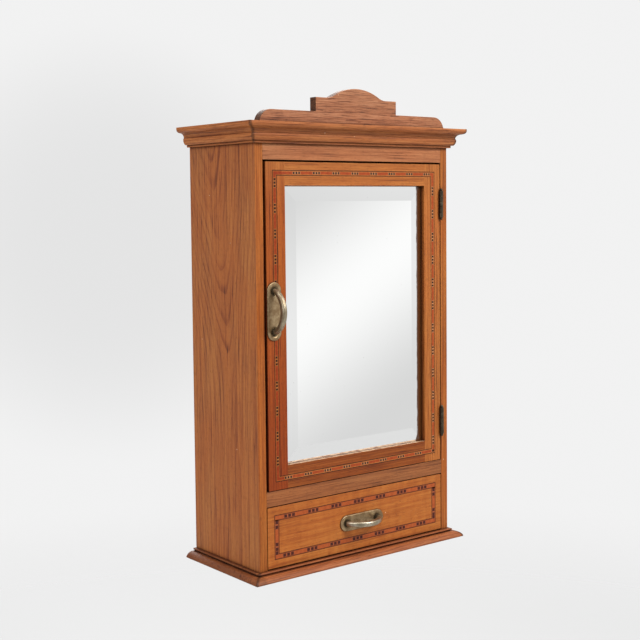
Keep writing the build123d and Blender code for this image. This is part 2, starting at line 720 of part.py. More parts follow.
def handle_screw(wood_t):
    # Machine screw through the wood into a foot of the bow, head behind the wood.
    shank_length = wood_t + HANDLE_SCREW_BITE
    shank = Pos(0, 0, HANDLE_SCREW_BITE - shank_length / 2) * Cylinder(HANDLE_SCREW_R, shank_length)
    head = Pos(0, 0, -wood_t - HANDLE_HEAD_H / 2) * Cylinder(HANDLE_HEAD_R, HANDLE_HEAD_H)
    head_end = -wood_t - HANDLE_HEAD_H
    head = ease_edges(head, lambda edge: edge.center().Z < head_end + EASE, HANDLE_HEAD_ROUND)
    slot = block((-HANDLE_HEAD_R, HANDLE_HEAD_R), (-HANDLE_SLOT_HALF_W, HANDLE_SLOT_HALF_W),
                 (head_end - OVERCUT, head_end + HANDLE_SLOT_DEPTH))
    return shank + head - slot


def handle_screws(at, wood_t, upright=False):
    screws = []
    for x in (-FOOT_SPACING / 2, FOOT_SPACING / 2):
        screws.append(turned_to_front(Pos(x, 0, 0) * handle_screw(wood_t), at, upright))
    return screws


def handle_screw_holes(at, wood_t, upright=False):
    holes = []
    for x in (-FOOT_SPACING / 2, FOOT_SPACING / 2):
        hole = Cylinder(HANDLE_SCREW_R + HANDLE_HOLE_GAP, wood_t + 2 * OVERCUT)
        hole = Pos(0, 0, -wood_t / 2) * hole
        holes.append(turned_to_front(Pos(x, 0, 0) * hole, at, upright))
    return Compound(children=holes)


# ---- Drawer ----
def drawer_inlay():
    return inlay_strips((-DRAWER_HALF + INLAY_MARGIN, DRAWER_HALF - INLAY_MARGIN),
                        (DRAWER_BOTTOM_Z + INLAY_MARGIN, DRAWER_TOP - INLAY_MARGIN),
                        DRAWER_INLAY_W)


def drawer_bottom():
    reach = DRAWER_INNER_X + GROOVE_DEPTH
    return block((-reach, reach), (DRAWER_FRONT_BACK_Y - GROOVE_DEPTH, DRAWER_REAR_Y),
                 (DRAWER_FLOOR_Z, DRAWER_FLOOR_Z + DRAWER_FLOOR_T))


def drawer_side(sign):
    spans = sorted((sign * DRAWER_INNER_X, sign * DRAWER_HALF))
    side = block(spans, (DRAWER_FRONT_BACK_Y - DRAWER_LAP, DRAWER_REAR_Y),
                 (DRAWER_BOTTOM_Z, DRAWER_SIDE_TOP))
    side = ease_edges(side, lambda edge: edge.center().Z > DRAWER_SIDE_TOP - EASE)
    side += block(spans, (DRAWER_FRONT_BACK_Y, DRAWER_REAR_Y), (DRAWER_LIFT, DRAWER_BOTTOM_Z))
    return side - drawer_bottom()


def drawer_front():
    front = eased(block((-DRAWER_HALF, DRAWER_HALF), (FRONT_Y, DRAWER_FRONT_BACK_Y),
                        (DRAWER_BOTTOM_Z, DRAWER_TOP)))
    for sign in (-1, 1):
        spans = sorted((sign * DRAWER_INNER_X, sign * (DRAWER_HALF + OVERCUT)))
        front -= block(spans, (DRAWER_FRONT_BACK_Y - DRAWER_LAP, DRAWER_FRONT_BACK_Y + OVERCUT),
                       (DRAWER_BOTTOM_Z - OVERCUT, DRAWER_SIDE_TOP))
    front -= drawer_bottom()
    for strip in drawer_inlay():
        front -= strip
    return front - handle_screw_holes(DRAWER_HANDLE_AT, DRAWER_FRONT_T)


def drawer_back():
    top = DRAWER_SIDE_TOP - DRAWER_BACK_DROP
    back = block((-DRAWER_INNER_X, DRAWER_INNER_X), (DRAWER_REAR_Y - DRAWER_SIDE_T, DRAWER_REAR_Y),
                 (DRAWER_FLOOR_Z + DRAWER_FLOOR_T, top))
    return ease_edges(back, lambda edge: edge.center().Z > top - EASE and abs(edge.center().X) < 1)


# ---- Nails and screws that hold the case together ----
def cornice_pins():
    pins = []
    z = CASE_HEIGHT + CORNICE_PIN_RISE
    side_x = HALF_W + CORNICE_PIN_OUT
    for x in CORNICE_PIN_X:
        place = (x, FRONT_Y - CORNICE_PIN_OUT, z)
        pins.append(facing(panel_pin(**CORNICE_PIN), "front", place))
    for y in CORNICE_PIN_Y:
        pins.append(facing(panel_pin(**CORNICE_PIN), "left", (-side_x, y, z)))
        pins.append(facing(panel_pin(**CORNICE_PIN), "right", (side_x, y, z)))
    return pins


def base_screws():
    screws = []
    reach = HALF_W - SIDE_T / 2
    for x in (-reach, reach):
        for y in BASE_SCREW_Y:
            screws.append(facing(wood_screw(**BASE_SCREW), "down", (x, y, -BASE_T)))
    return screws


def back_nails():
    nails = []
    reach = HALF_W - BACK_NAIL_INSET
    for z in BACK_NAIL_Z:
        for x in (-reach, reach):
            nails.append(facing(panel_pin(**BACK_NAIL), "back", (x, 0, z)))
    for x in FLOOR_NAIL_X:
        place = (x, 0, FLOOR_Z + THIN_BOARD_T / 2)
        nails.append(facing(panel_pin(**FLOOR_NAIL), "back", place))
    return nails


# ---- Write every piece ----
def write_case():
    inner = (-INNER_X, INNER_X)
    behind_rail = (RAIL_BACK_Y, INNER_BACK_Y)
    save(side_panel(-1), "side_panel_left")
    save(side_panel(1), "side_panel_right")
    save(base_board(), "base_board")
    save(eased(block(inner, behind_rail, (TOP_BOARD_Z, TOP_Z))), "top_board")
    save(eased(block(inner, behind_rail, (FLOOR_Z, MID_RAIL_TOP))), "floor_board")
    save(eased(block(inner, (FRONT_Y, RAIL_BACK_Y), (OPENING_TOP, TOP_Z))), "top_rail")
    save(eased(block(inner, (FRONT_Y, RAIL_BACK_Y), (MID_RAIL_BOTTOM, MID_RAIL_TOP))), "mid_rail")
    for name, board in back_boards().items():
        save(board, f"back_board_{name}")
    save(hanging_batten(), "hanging_batten")
    for side in ("front", "left", "right"):
        save(moulded_run(cornice_outline(), side), f"cornice_{side}")
    save(crest_board(), "crest_board")
    for name, level in SHELF_LEVELS.items():
        save(shelf(level), f"shelf_{name}")
        save(shelf_cleat(-1, level), f"shelf_cleat_{name}_left")
        save(shelf_cleat(1, level), f"shelf_cleat_{name}_right")
    save(drawer_kicker(-1), "drawer_kicker_left")
    save(drawer_kicker(1), "drawer_kicker_right")
    save_group([drawer_stop(-1), drawer_stop(1)], "drawer_stops")
    save(door_stop_strip(), "door_stop_strip")
    save(catch_spring(), "door_catch_spring")
    save_group(catch_screws(), "catch_screws")
    save_group(cornice_pins(), "cornice_pins")
    save_group(base_screws(), "base_screws")
    save_group(back_nails(), "back_nails")


def write_hinges():
    for name, span in HINGE_SPANS.items():
        save(hinge_leaf(span, "case"), f"hinge_{name}_case_leaf")
        save(hinge_leaf(span, "door"), f"hinge_{name}_door_leaf")
        save(hinge_pin(span), f"hinge_{name}_pin")
    for side in ("case", "door"):
        screws = []
        for span in HINGE_SPANS.values():
            screws += hinge_screws(span, side)
        save_group(screws, f"hinge_{side}_screws")


def write_door():
    save(door_stile(-1), "door_stile_handle")
    save(door_stile(1), "door_stile_hinge")
    save(door_rail((SIGHT_Z1, DOOR_Z1), TENON_TOP, DOOR_Z1), "door_rail_top")
    save(door_rail((DOOR_Z0, SIGHT_Z0), TENON_BOTTOM, DOOR_Z0), "door_rail_bottom")
    save_group(door_inlay(), "door_inlay")
    save(mirror_glass(), "mirror_glass")
    save(mirror_backing(), "mirror_backing")
    save_group(backing_sprigs(), "backing_sprigs")
    save(turned_to_front(handle_plate(), DOOR_HANDLE_AT, upright=True), "door_handle_plate")
    save(turned_to_front(bow(), DOOR_HANDLE_AT, upright=True), "door_handle_bow")
    save_group(handle_screws(DOOR_HANDLE_AT, DOOR_T, upright=True), "door_handle_screws")


def write_drawer():
    save(drawer_front(), "drawer_front")
    save(drawer_side(-1), "drawer_side_left")
    save(drawer_side(1), "drawer_side_right")
    save(drawer_back(), "drawer_back")
    save(drawer_bottom(), "drawer_bottom")
    save_group(drawer_inlay(), "drawer_inlay")
    save(turned_to_front(handle_plate(), DRAWER_HANDLE_AT), "drawer_handle_plate")
    save(turned_to_front(bow(), DRAWER_HANDLE_AT), "drawer_handle_bow")
    save_group(handle_screws(DRAWER_HANDLE_AT, DRAWER_FRONT_T), "drawer_handle_screws")


os.makedirs("parts", exist_ok=True)
write_case()
write_hinges()
write_door()
write_drawer()
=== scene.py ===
"""The looks of a small hardwood wall cabinet with a bevelled mirror door and one drawer.

Every board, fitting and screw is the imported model's own node with a procedural material. The two inlaid
bands are built here, slip by slip. Lengths are in metres, but places and sizes inside a material are in mm.
"""
import math

import bmesh
import bpy
from mathutils import Matrix, Vector


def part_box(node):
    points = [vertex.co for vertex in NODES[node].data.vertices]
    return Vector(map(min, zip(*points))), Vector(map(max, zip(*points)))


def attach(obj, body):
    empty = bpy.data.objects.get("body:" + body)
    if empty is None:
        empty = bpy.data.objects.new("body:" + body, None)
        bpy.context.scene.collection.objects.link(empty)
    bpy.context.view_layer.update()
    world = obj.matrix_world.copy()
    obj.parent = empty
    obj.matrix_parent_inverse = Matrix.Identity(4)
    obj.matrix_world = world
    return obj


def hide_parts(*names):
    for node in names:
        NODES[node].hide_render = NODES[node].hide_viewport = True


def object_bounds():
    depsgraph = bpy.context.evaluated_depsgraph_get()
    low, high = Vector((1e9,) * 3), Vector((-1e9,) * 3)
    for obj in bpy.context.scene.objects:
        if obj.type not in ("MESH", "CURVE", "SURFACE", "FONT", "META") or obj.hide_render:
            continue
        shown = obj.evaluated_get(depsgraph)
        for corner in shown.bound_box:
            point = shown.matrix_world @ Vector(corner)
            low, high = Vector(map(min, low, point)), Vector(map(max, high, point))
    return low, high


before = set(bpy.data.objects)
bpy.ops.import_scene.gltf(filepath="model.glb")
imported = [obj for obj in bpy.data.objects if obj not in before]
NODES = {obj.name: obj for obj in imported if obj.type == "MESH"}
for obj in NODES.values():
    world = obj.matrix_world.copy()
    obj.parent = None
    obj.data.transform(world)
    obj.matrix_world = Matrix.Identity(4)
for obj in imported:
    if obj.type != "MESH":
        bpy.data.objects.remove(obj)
cad_low, cad_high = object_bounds()
MM = 0.001

# ---------------------------------------------------------------- colours


def srgb(red, green, blue):
    """A colour as seen on screen, 0 to 255, as the linear colour that shaders take."""
    def linear(value):
        share = value / 255
        return share / 12.92 if share <= 0.04045 else ((share + 0.055) / 1.055) ** 2.4

    return (linear(red), linear(green), linear(blue), 1.0)


STUDIO_GAIN = 1.3  # how much brighter than its own colour a matt front looks in this light


def seen(red, green, blue):
    """The paint colour of a matt front that the studio light shows as this colour on screen."""
    return tuple(value / STUDIO_GAIN for value in srgb(red, green, blue)[:3]) + (1.0,)


# Each tone runs from the palest early wood to the darkest line of late wood.
SIDE_TONE = [seen(200, 128, 66), seen(182, 110, 58), seen(148, 82, 46), seen(76, 42, 28)]
EDGE_TONE = [seen(200, 124, 56), seen(180, 102, 38), seen(152, 80, 28), seen(92, 46, 20)]
FRONT_TONE = [seen(202, 126, 60), seen(184, 108, 46), seen(156, 84, 32), seen(96, 48, 22)]
DRAWER_TONE = [seen(206, 130, 58), seen(186, 106, 42), seen(160, 84, 32), seen(104, 52, 22)]
BOTTOM_RAIL_TONE = [seen(174, 98, 40), seen(148, 74, 22), seen(120, 54, 16), seen(72, 30, 12)]
TOP_RAIL_TONE = [seen(204, 138, 92), seen(188, 120, 76), seen(160, 96, 58), seen(96, 54, 34)]
MID_RAIL_TONE = [seen(178, 114, 66), seen(158, 96, 54), seen(128, 74, 42), seen(80, 44, 28)]
CREST_TONE = [seen(202, 148, 112), seen(174, 116, 80), seen(136, 82, 54), seen(64, 36, 26)]
CORNICE_TONE = [seen(206, 136, 82), seen(182, 110, 60), seen(142, 80, 44), seen(76, 40, 26)]
CORNICE_SIDE_TONE = [(red * 1.14, green * 1.11, blue, alpha) for red, green, blue, alpha in CORNICE_TONE]
BASE_TONE = [seen(184, 112, 62), seen(158, 88, 46), seen(120, 62, 34), seen(62, 32, 20)]
INNER_TONE = [seen(214, 172, 118), seen(194, 148, 96), seen(164, 120, 76), seen(122, 86, 54)]
# the pale of bare wood at chips, and on the ledge under the mirror, where it is also a painted highlight
BARE_AND_LIT_WOOD = seen(244, 206, 166)
PORE = seen(56, 28, 14)
SILVER = (0.93, 0.935, 0.93, 1.0)
# the brown of silver gone bad, also the painted shadow and reflection of the stile's edge in the right strip
BACKING_AND_REFLECTED_STILE = seen(88, 50, 24)

# Colours that darken what they are multiplied with.
# dirt and painted shade, for crevices and places near other surfaces
CREVICE_DIRT_AND_SHADE = (0.26, 0.19, 0.14, 1.0)
END_GRIME = (0.2, 0.2, 0.19, 1.0)
RED_PATCH = (1.0, 0.84, 0.74, 1.0)
OLD_VARNISH = (0.8, 0.62, 0.32, 1.0)
STILE_VARNISH = (0.84, 0.58, 0.3, 1.0)
STILE_FOOT_VARNISH = (0.79, 0.6, 0.42, 1.0)
# darker towards the base's left end
BASE_LEFT_END_DARKENING = (0.72, 0.72, 0.7, 1.0)

MITRE = 15.0  # half the case's width less its depth, in mm


# ---------------------------------------------------------------- node trees


class Net:
    """The node tree of a new material, or of a world. Most methods add a node and give its output."""

    def __init__(self, name, world=None):
        self.owner = world or bpy.data.materials.new(name)
        self.owner.use_nodes = True
        self.tree = self.owner.node_tree
        self.tree.nodes.clear()

    def node(self, kind, inputs, output=0, **settings):
        made = self.tree.nodes.new("ShaderNode" + kind)
        for key, value in settings.items():
            setattr(made, key, value)
        for key, value in inputs.items():
            if isinstance(value, bpy.types.NodeSocket):
                self.tree.links.new(value, made.inputs[key])
            else:
                made.inputs[key].default_value = value
        return made.outputs[output] if made.outputs else None

    def math(self, operation, *values):
        return self.node("Math", dict(enumerate(values)), operation=operation)

    def add(self, first, second):
        return self.math("ADD", first, second)

    def times(self, first, second):
        return self.math("MULTIPLY", first, second)

    def clamped(self, value):
        return self.node("Clamp", {0: value})

    def around(self, value, reach):
        """A 0 to 1 value as a swing of reach to either side of zero."""
        return self.math("MULTIPLY_ADD", value, 2 * reach, -reach)

    def step(self, value, low, high, start=0.0, end=1.0):
        """A smooth step from start to end as value goes from low to high."""
        ends = {1: low, 2: high, 3: start, 4: end}
        return self.node("MapRange", {0: value, **ends}, interpolation_type="SMOOTHSTEP")

    def place(self):
        """The point in the piece's own space, in mm."""
        point = self.node("TexCoord", {}, output=3)
        return self.node("VectorMath", {0: point, 1: (1 / MM,) * 3}, operation="MULTIPLY")

    def normal(self):
        """The way the surface looks, in the piece's own space."""
        return self.node("TexCoord", {}, output=1)

    def parts(self, vector):
        """The X, Y and Z of a vector."""
        first = self.node("SeparateXYZ", {0: vector})
        return dict(zip("XYZ", first.node.outputs))

    def joined(self, x, y, z):
        return self.node("CombineXYZ", {0: x, 1: y, 2: z})

    def dot(self, first, second):
        return self.node("VectorMath", {0: first, 1: second}, output=1, operation="DOT_PRODUCT")

    def scaled(self, vector, sizes, shift=0.0):
        """vector with each axis divided by that many mm, moved by shift on every axis."""
        rates = tuple(1 / size for size in sizes)
        inputs = {0: vector, 1: rates, 2: (shift,) * 3}
        return self.node("VectorMath", inputs, operation="MULTIPLY_ADD")

    def noise(self, vector, detail=2.0, roughness=0.5):
        inputs = {"Vector": vector, "Scale": 1.0, "Detail": detail, "Roughness": roughness}
        return self.node("TexNoise", inputs)

    def noise_along(self, value, rate, detail=1.0):
        inputs = {"W": value, "Scale": rate, "Detail": detail}
        return self.node("TexNoise", inputs, noise_dimensions="1D")

    def ramp(self, value, colours):
        """A colour ramp with its colours evenly spaced from 0 to 1."""
        out = self.node("ValToRGB", {0: value})
        stops = out.node.color_ramp.elements
        while len(stops) < len(colours):
            stops.new(0.5)
        for index, colour in enumerate(colours):
            stops[index].position = index / (len(colours) - 1)
            stops[index].color = colour
        return out

    def mix(self, share, first, second, blend="MIX"):
        inputs = {0: share, 6: first, 7: second}
        return self.node("Mix", inputs, output=2, data_type="RGBA", blend_type=blend)

    def tinted(self, colour, tint):
        return self.mix(1.0, colour, tint, "MULTIPLY")

    def bump(self, height, distance):
        return self.node("Bump", {"Height": height, "Distance": distance, "Strength": 1.0})

    def surface(self, **inputs):
        shader = self.node("BsdfPrincipled", inputs)
        self.node("OutputMaterial", {0: shader})
        return self.owner


# ---------------------------------------------------------------- wood

VARNISH_ROUGHNESS = 0.48
VARNISH_SPECULAR = 0.2
PORE_DEPTH = 0.12 * MM
CREVICE = 10 * MM  # how near the next surface is where dirt gathers and painted shade falls
ARCH_FADE = 90.0  # over how many mm of grain the arches turn into straight lines
PLAIN_DEPTH = 0.28  # where in its tone plain wood is, before the figure is added
BROAD_SWING = 0.2  # how far the slow change from year to year moves wood in its tone
CHIP_RADIUS = (0.018, 0.03)  # a chip's inner and outer radius, as shares of CHIP_SIZE

# The sizes of the wood's figure, in mm: across the face, through the board and along the grain.
BEND_SIZE = (80, 80, 210)
RIPPLE_SIZE = (13, 13, 90)
BREAK_SIZE = (30, 30, 110)
STREAK_SIZE = (3.6, 3.6, 170)
FIBRE_SIZE = (0.7, 0.7, 22)
PATCH_SIZE = (48, 48, 130)
CURL_SIZE = (26, 26, 9)
PORE_SIZE = (0.5, 0.5, 7.5)
CHIP_SIZE = (31, 31, 31)


def grain_lines(n, log, cut, seed):
    """The growth rings, from 0 in early wood to 1 in late wood, and a slow change from year to year. log is
    the place in the tree."""
    at = n.parts(log)
    along = at["Z"]
    if cut["straight_below"] is not None:
        along = n.math("SMOOTH_MAX", along, cut["straight_below"], ARCH_FADE)
    bend = n.around(n.noise(n.scaled(log, BEND_SIZE, seed)), cut["sway"])
    ripple = n.around(n.noise(n.scaled(log, RIPPLE_SIZE, seed + 5), 3.0), cut["ripple"])
    across = n.add(n.math("MULTIPLY_ADD", along, cut["lean"], at["X"]), bend)
    squares = n.add(n.times(across, across), n.times(at["Y"], at["Y"]))
    radius = n.add(n.math("SQRT", squares), ripple)
    radius = n.math("MULTIPLY_ADD", squares, cut["flare"], radius)
    radius = n.math("MULTIPLY_ADD", along, cut["taper"], radius)
    count = n.times(radius, 1 / cut["ring"])
    uneven = n.noise_along(count, 0.45)
    saw = n.math("FRACT", n.add(count, n.times(uneven, 1.4)))
    rise = n.step(saw, cut["sharp"], 0.9)
    fall = n.step(saw, 0.92, 1.0, 1.0, 0.0)
    strength = n.step(n.noise_along(count, 0.8, 2.0), 0.3, 0.72, 0.15, 1.0)
    breaks = n.step(n.noise(n.scaled(log, BREAK_SIZE, seed + 61), 2.0), 0.3, 0.6, 0.35, 1.0)
    return n.times(n.times(rise, fall), n.times(strength, breaks)), n.noise_along(count, 0.21)


PLAIN_CUT = {"pith": (0.0, 30.0), "ring": 4.0, "taper": 0.006, "lean": 0.0, "sway": 6.0, "ripple": 3.0,
             "sharp": 0.3, "flare": 0.0, "straight_below": None}


def wood(name, tone, axes, seed, lines=0.4, streaks=0.45, hairs=0.3, veins=0.36, vein=(1.4, 60), redness=0.5,
         curl=0.0, extra=(), **cut):
    """A board cut from a tree. axes names the board's own axes across its face, through it and along its grain.
    The cut says where the tree's middle, its pith, is on the first two, in mm, how wide a year's growth is, and
    how fast the tree narrows and leans, which draws the pointed arches of a flat-sawn board. lines, streaks,
    hairs, veins, redness and curl say how strong each part of the figure is, and vein gives a vein's width
    and length in mm. Each function in extra paints over the figure, before the pores and before the darkening
    near other surfaces, which is partly dirt and partly painted shade."""
    cut = {**PLAIN_CUT, **cut}
    n = Net(name)
    place = n.place()
    at = n.parts(place)
    across, through, along = (at[axis] for axis in axes)
    log = n.joined(n.add(across, -cut["pith"][0]), n.add(through, -cut["pith"][1]), along)
    late, broad = grain_lines(n, log, cut, seed)
    streak = n.noise(n.scaled(log, STREAK_SIZE, seed + 11), 4.0, 0.62)
    fibre = n.noise(n.scaled(log, FIBRE_SIZE, seed + 23), 3.0, 0.6)
    patch = n.noise(n.scaled(log, PATCH_SIZE, seed + 31), 2.0)
    hair = n.noise(n.scaled(log, (vein[0], vein[0], vein[1]), seed + 53), 2.0, 0.55)
    hair = n.step(hair, 0.52, 0.68)
    depth = n.math("MULTIPLY_ADD", late, lines, PLAIN_DEPTH)
    depth = n.math("MULTIPLY_ADD", hair, veins, depth)
    depth = n.add(depth, n.around(streak, streaks))
    depth = n.add(depth, n.around(broad, BROAD_SWING))
    depth = n.add(depth, n.around(fibre, hairs))
    if curl:
        wave = n.noise(n.scaled(log, CURL_SIZE, seed + 41), 1.0)
        depth = n.add(depth, n.around(wave, curl))
    colour = n.ramp(n.clamped(depth), tone)
    for layer in extra:
        colour = layer(n, at, colour)
    redder = n.tinted(colour, RED_PATCH)
    colour = n.mix(n.step(patch, 0.35, 0.68, 0.0, redness), colour, redder)
    pore = n.step(n.noise(n.scaled(log, PORE_SIZE, seed + 47), 1.0), 0.58, 0.7)
    pore = n.times(pore, n.step(late, 0.0, 0.6, 0.9, 0.4))
    colour = n.mix(n.times(pore, 0.5), colour, PORE)
    cell = {"Vector": n.scaled(place, CHIP_SIZE, seed), "Scale": 1.0}
    chip = n.step(n.node("TexVoronoi", cell), *CHIP_RADIUS, 1.0, 0.0)
    colour = n.mix(n.times(chip, 0.8), colour, BARE_AND_LIT_WOOD)
    # darkening near other surfaces: partly dirt, partly painted shade in corners, joints and under mouldings
    open_sky = n.node("AmbientOcclusion", {"Distance": CREVICE}, output=1, samples=8)
    dirt = n.times(n.step(open_sky, 0.42, 0.9, 1.0, 0.0), n.step(patch, 0.2, 0.6, 0.75, 1.0))
    colour = n.mix(dirt, colour, n.tinted(colour, CREVICE_DIRT_AND_SHADE))
    rough = n.add(n.around(fibre, 0.08), VARNISH_ROUGHNESS)
    rough = n.math("MULTIPLY_ADD", pore, 0.25, rough)
    rough = n.math("MULTIPLY_ADD", dirt, 0.25, rough)
    height = n.math("MULTIPLY_ADD", pore, -0.8, n.times(fibre, 0.35))
    height = n.math("MULTIPLY_ADD", late, -0.25, height)
    return n.surface(**{
        "Base Color": colour, "Roughness": rough, "Specular IOR Level": VARNISH_SPECULAR,
        "Normal": n.bump(height, PORE_DEPTH)})


# ---------------------------------------------------------------- metals and glass

SEAT_SHADE_RADIUS = 4.2  # the radius of the painted shade round the foot of a bow, in mm
SEAT_SHADE_FADE = 3.5
FOOT_STEP = 27.75  # half the distance between the feet of a bow, in mm
HOLLOW = 7 * MM  # how near the next surface is where dirt gathers on metal
METAL_RELIEF = 0.06 * MM
BOARD_RELIEF = 0.2 * MM
SLIP_RELIEF = 0.04 * MM
SLIP_ROUGHNESS = 0.38
LEFT_RUN = (-132, -130)  # where on X the left run of the door's band ends, in mm

SIGHT_LAP = 4.5  # how far the door's frame covers the edge of the mirror, in mm
WORN_AND_REFLECTED_STRIP = (9.8, 11.6)  # how far from the right sight edge the dark strip ends, in mm: partly silver gone brown, partly painted shadow and a painted reflection of the stile's inner edge
WORN_AND_REFLECTED_FOOT = (14, -2.5)  # over its lowest 14 mm the strip's edge moves in by up to 2.5 mm, so it gets wider
MIRROR_ROUGHNESS = 0.008


def aged_metal(name, bright, dull, dark, rough, seed, shaded_seats=None):
    """Old plated metal: patches of bright and dull plating, with dirt in its hollows. The last argument gives
    the two points on the front, as (X, Z) in mm, where the feet of a bow stand; round each a dark seat is
    painted, as painted shade of a dished recess that the plate doesn't have."""
    n = Net(name)
    place = n.place()
    cloud = n.noise(n.scaled(place, (9, 9, 9), seed), 5.0, 0.62)
    fine = n.noise(n.scaled(place, (1.1, 1.1, 1.1), seed + 3), 3.0, 0.6)
    pits = n.step(n.noise(n.scaled(place, (0.7, 0.7, 0.7), seed + 7), 2.0), 0.62, 0.74)
    colour = n.mix(n.step(cloud, 0.36, 0.62), bright, dull)
    colour = n.mix(n.times(pits, 0.6), colour, dark)
    open_sky = n.node("AmbientOcclusion", {"Distance": HOLLOW}, output=1)
    hollow_dirt_and_seat_shade = n.step(open_sky, 0.35, 0.86, 1.0, 0.0)
    # painted shade: a dark seat round each foot of the bow, for a dished recess the plate doesn't have
    for shaded_seat in shaded_seats or ():
        at = n.parts(place)
        away = n.joined(n.add(at["X"], -shaded_seat[0]), 0.0, n.add(at["Z"], -shaded_seat[1]))
        away = n.add(n.node("VectorMath", {0: away}, output=1, operation="LENGTH"), n.around(cloud, 3.0))
        hollow_dirt_and_seat_shade = n.math("MAXIMUM", hollow_dirt_and_seat_shade, n.step(away, SEAT_SHADE_RADIUS, SEAT_SHADE_RADIUS + SEAT_SHADE_FADE, 1.0, 0.0))
    colour = n.mix(n.times(hollow_dirt_and_seat_shade, 0.85), colour, dark)
    roughness = n.add(n.math("MULTIPLY_ADD", cloud, 0.25, rough - 0.12), n.times(pits, 0.2))
    roughness = n.add(n.math("MULTIPLY_ADD", hollow_dirt_and_seat_shade, 0.25, n.around(fine, 0.06)), roughness)
    height = n.math("MULTIPLY_ADD", pits, -0.7, fine)
    return n.surface(**{
        "Base Color": colour, "Metallic": 1.0, "Roughness": roughness,
        "Normal": n.bump(height, METAL_RELIEF)})


def feet(node):
    """Where the two feet of the bow stand on a handle's back plate, as (X, Z) in mm."""
    low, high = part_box(node)
    middle = (low + high) / 2 / MM
    if high.x - low.x > high.z - low.z:
        return [(middle.x - FOOT_STEP, middle.z), (middle.x + FOOT_STEP, middle.z)]
    return [(middle.x, middle.z - FOOT_STEP), (middle.x, middle.z + FOOT_STEP)]


def mirror():
    """Silvered plate glass. Its silver has gone brown in the last millimetres behind the sight edge, in a wide
    ragged strip down the right edge, and in a few spots. The wide strip is also painted shadow and a painted
    reflection of the door stile's dark inner edge."""
    n = Net("silvered_glass")
    place = n.place()
    at = n.parts(place)
    low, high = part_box("mirror_glass")
    sides = []  # how far inside the left, right, bottom and top sight edge a point is
    for axis, start, end in (("X", low.x, high.x), ("Z", low.z, high.z)):
        sides.append(n.add(at[axis], -start / MM - SIGHT_LAP))
        sides.append(n.add(n.times(at[axis], -1), end / MM - SIGHT_LAP))
    near = n.math("MINIMUM", n.math("MINIMUM", sides[0], sides[1]), n.math("MINIMUM", sides[2], sides[3]))
    ragged = n.add(near, n.around(n.noise(n.scaled(place, (7, 7, 7)), 4.0, 0.7), -1.5))
    silver_loss_and_reflection = n.step(ragged, -0.4, 1.2, 0.5, 0.0)
    # the wide right strip: silver gone brown, plus painted shadow and a painted reflection of the stile's inner
    # edge
    rag = n.around(n.noise(n.scaled(place, (2.5, 2.5, 14), 4), 4.0, 0.7), 2.2)
    right = n.add(n.add(sides[1], rag), n.step(sides[2], 0, *WORN_AND_REFLECTED_FOOT, 0.0))
    silver_loss_and_reflection = n.math("MAXIMUM", silver_loss_and_reflection, n.step(right, *WORN_AND_REFLECTED_STRIP, 1.0, 0.0))
    spots = n.step(n.noise(n.scaled(place, (2.6, 2.6, 2.6), 9), 2.0), 0.74, 0.8)
    silver_loss_and_reflection = n.clamped(n.add(silver_loss_and_reflection, n.times(spots, 0.18)))
    return n.surface(**{
        "Base Color": n.mix(silver_loss_and_reflection, SILVER, BACKING_AND_REFLECTED_STILE), "Metallic": n.step(silver_loss_and_reflection, 0.0, 1.0, 1.0, 0.0),
        "Roughness": MIRROR_ROUGHNESS})


def plain_board(name, colour, dark, seed):
    """Unfinished softwood, rough and dusty."""
    n = Net(name)
    place = n.place()
    cloud = n.noise(n.scaled(place, (30, 30, 70), seed), 4.0, 0.6)
    fine = n.noise(n.scaled(place, (1.2, 1.2, 9.0), seed + 5), 3.0)
    colour = n.mix(n.clamped(n.add(n.step(cloud, 0.3, 0.75, 0.0, 0.7), n.around(fine, 0.3))), colour, dark)
    return n.surface(**{
        "Base Color": colour, "Roughness": n.add(0.75, n.around(fine, 0.1)), "Specular IOR Level": 0.2,
        "Normal": n.bump(fine, BOARD_RELIEF)})


def inlay_wood(name, colour, dark, seed, left_shade):
    """A thin slip of coloured wood let into the front. left_shade, from 0 to 1, says how much old varnish lies
    over it left of LEFT_RUN."""
    n = Net(name)
    place = n.place()
    cloud = n.noise(n.scaled(place, (5, 5, 5), seed), 3.0, 0.6)
    fine = n.noise(n.scaled(place, (0.6, 0.6, 0.6), seed + 3), 3.0, 0.6)
    share = n.clamped(n.add(n.step(cloud, 0.3, 0.7, 0.0, 0.8), n.around(fine, 0.35)))
    tone = n.mix(share, colour, dark)
    left = n.step(n.parts(place)["X"], *LEFT_RUN, left_shade, 0.0)
    return n.surface(**{
        "Base Color": n.mix(left, tone, n.tinted(tone, OLD_VARNISH)),
        "Roughness": n.add(SLIP_ROUGHNESS, n.around(fine, 0.08)),
        "Specular IOR Level": VARNISH_SPECULAR, "Normal": n.bump(fine, SLIP_RELIEF)})


# ---------------------------------------------------------------- paint over the figure
# Each paint goes into wood()'s extra. It is called with the material's Net, the place as its X, Y and Z, and
# the colour so far, and gives the new colour.


def facing(n, axis, sign):
    """1 on the faces that look along an axis of the piece, and 0 on the others."""
    return n.step(n.times(n.parts(n.normal())[axis], sign), 0.6, 0.9)


def front_edge(tone):
    """The narrow front edge of a side panel: straight grain, faded to the colour of the front."""
    def paint(n, at, colour):
        streak = n.noise(n.scaled(n.joined(*at.values()), (1.8, 9, 120)), 4.0, 0.6)
        return n.mix(facing(n, "Y", -1), colour, n.ramp(n.step(streak, 0.2, 0.85), tone))
    return paint


def dark_ends(reach):
    """End grain that has soaked up dirt, on the faces whose normal's X, left or right, is more than reach."""
    def paint(n, at, colour):
        turned = n.math("ABSOLUTE", n.parts(n.normal())["X"])
        return n.mix(n.step(turned, reach, reach + 0.4, 0.0, 0.9), colour, n.tinted(colour, END_GRIME))
    return paint


